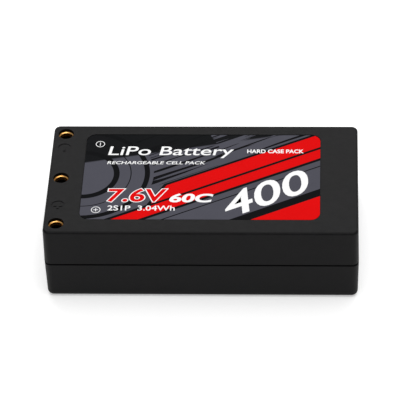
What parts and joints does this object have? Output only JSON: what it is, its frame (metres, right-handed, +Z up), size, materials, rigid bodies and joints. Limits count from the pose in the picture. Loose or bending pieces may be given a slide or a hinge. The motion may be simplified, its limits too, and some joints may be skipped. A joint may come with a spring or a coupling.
{
  "type": "lipo battery pack",
  "caption": "Small hard-case lithium polymer pack: a flat black two-shell case with recessed round sockets along one end of its labelled top.",
  "frame": {"origin": "centre of the base on the resting surface", "axes": "+X along the length, away from the end that has the sockets; +Z up through the labelled top"},
  "size_m": [0.048, 0.0254, 0.0132],
  "materials": {
    "case_shell": "fine satin moulded texture",
    "label_print": "satin laminated print",
    "socket_gold": "thin gold plate over turned brass",
    "board_laminate": "green solder mask over glass laminate",
    "trace_copper": "bare copper",
    "solder": "reflowed tin solder",
    "pouch_laminate": "dull silver laminate film",
    "electrodes": "coated foils and separator",
    "tab_aluminium": "rolled foil",
    "tab_nickel": "nickel plate",
    "tab_sealant": "translucent sealing film",
    "polyimide_film": "amber polyimide film",
    "double_sided_tape": "white tissue tape",
    "foam": "closed-cell foam",
    "fish_paper": "grey-green pressed paper"
  },
  "bodies": {
    "root": {"case_top": "case_shell", "case_bottom": "case_shell", "label": "label_print", "negative_socket": "socket_gold", "balance_socket": "socket_gold", "positive_socket": "socket_gold", "terminal_board": "board_laminate", "negative_trace": "trace_copper", "link_trace": "trace_copper", "positive_trace": "trace_copper", "socket_solder": "solder", "tab_solder": "solder", "lower_pouch": "pouch_laminate", "upper_pouch": "pouch_laminate", "lower_electrode_stack": "electrodes", "upper_electrode_stack": "electrodes", "lower_positive_tab": "tab_aluminium", "upper_positive_tab": "tab_aluminium", "lower_negative_tab": "tab_nickel", "upper_negative_tab": "tab_nickel", "lower_tab_sealant": "tab_sealant", "upper_tab_sealant": "tab_sealant", "lower_terrace_tape": "polyimide_film", "upper_terrace_tape": "polyimide_film", "cell_wrap": "polyimide_film", "cell_tape": "double_sided_tape", "bottom_foam_pad": "foam", "top_foam_pad": "foam", "end_foam_pad": "foam", "insulating_card": "fish_paper"}
  },
  "joints": []
}
